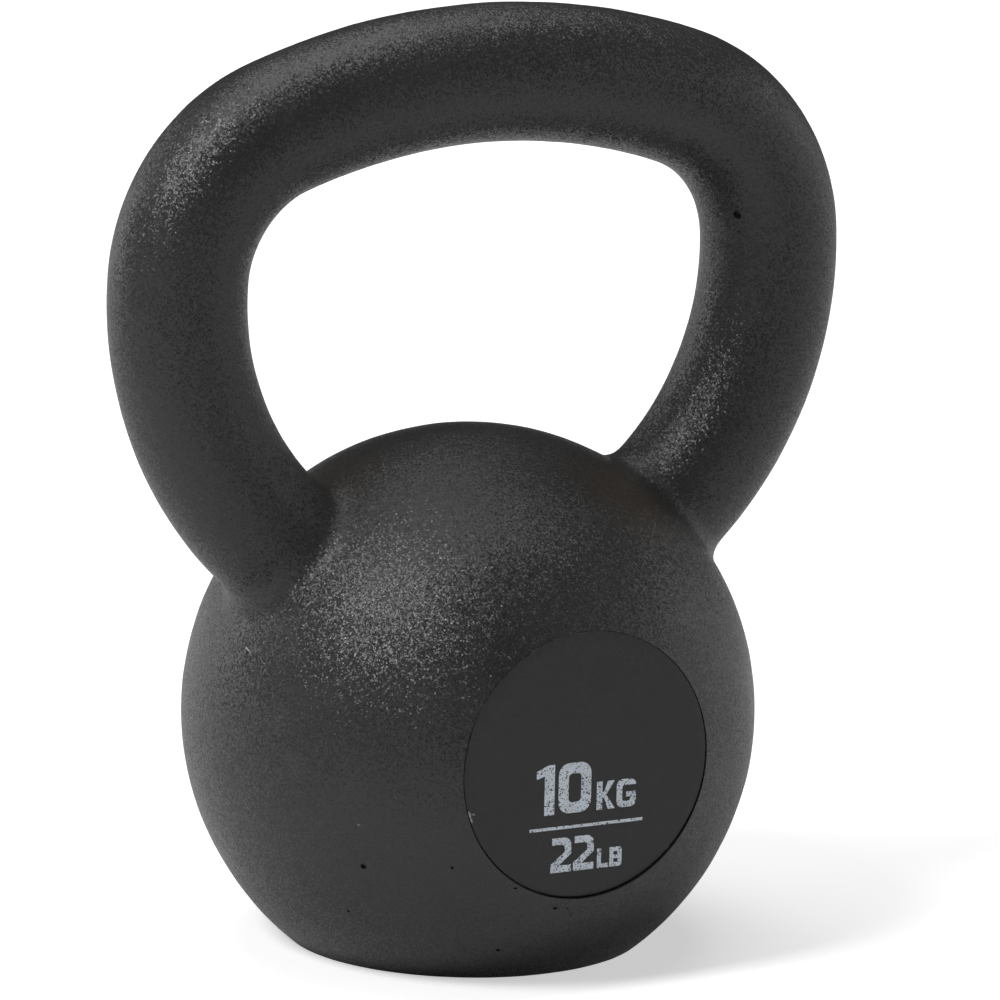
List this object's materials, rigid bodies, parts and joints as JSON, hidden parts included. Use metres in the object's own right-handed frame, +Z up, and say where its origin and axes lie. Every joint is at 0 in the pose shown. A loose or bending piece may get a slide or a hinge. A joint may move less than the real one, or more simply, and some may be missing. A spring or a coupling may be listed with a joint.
{
  "type": "kettlebell",
  "caption": "Cast-iron kettlebell: a flat-based ball with a thick arched handle, and a round printed weight disc set flush in its front.",
  "frame": {"origin": "middle of the flat base, on the floor", "axes": "+Z up, +X along the handle bar, -Y out of the printed front disc"},
  "size_m": [0.1816, 0.1237, 0.216],
  "materials": {
    "iron": "matte",
    "disc": "matte",
    "adhesive": "matte",
    "ink": "matte"
  },
  "bodies": {
    "root": {"casting": "iron", "front_disc": "disc", "disc_adhesive": "adhesive", "print_10": "ink", "print_kg": "ink", "print_rule": "ink", "print_22": "ink", "print_lb": "ink"}
  },
  "joints": []
}
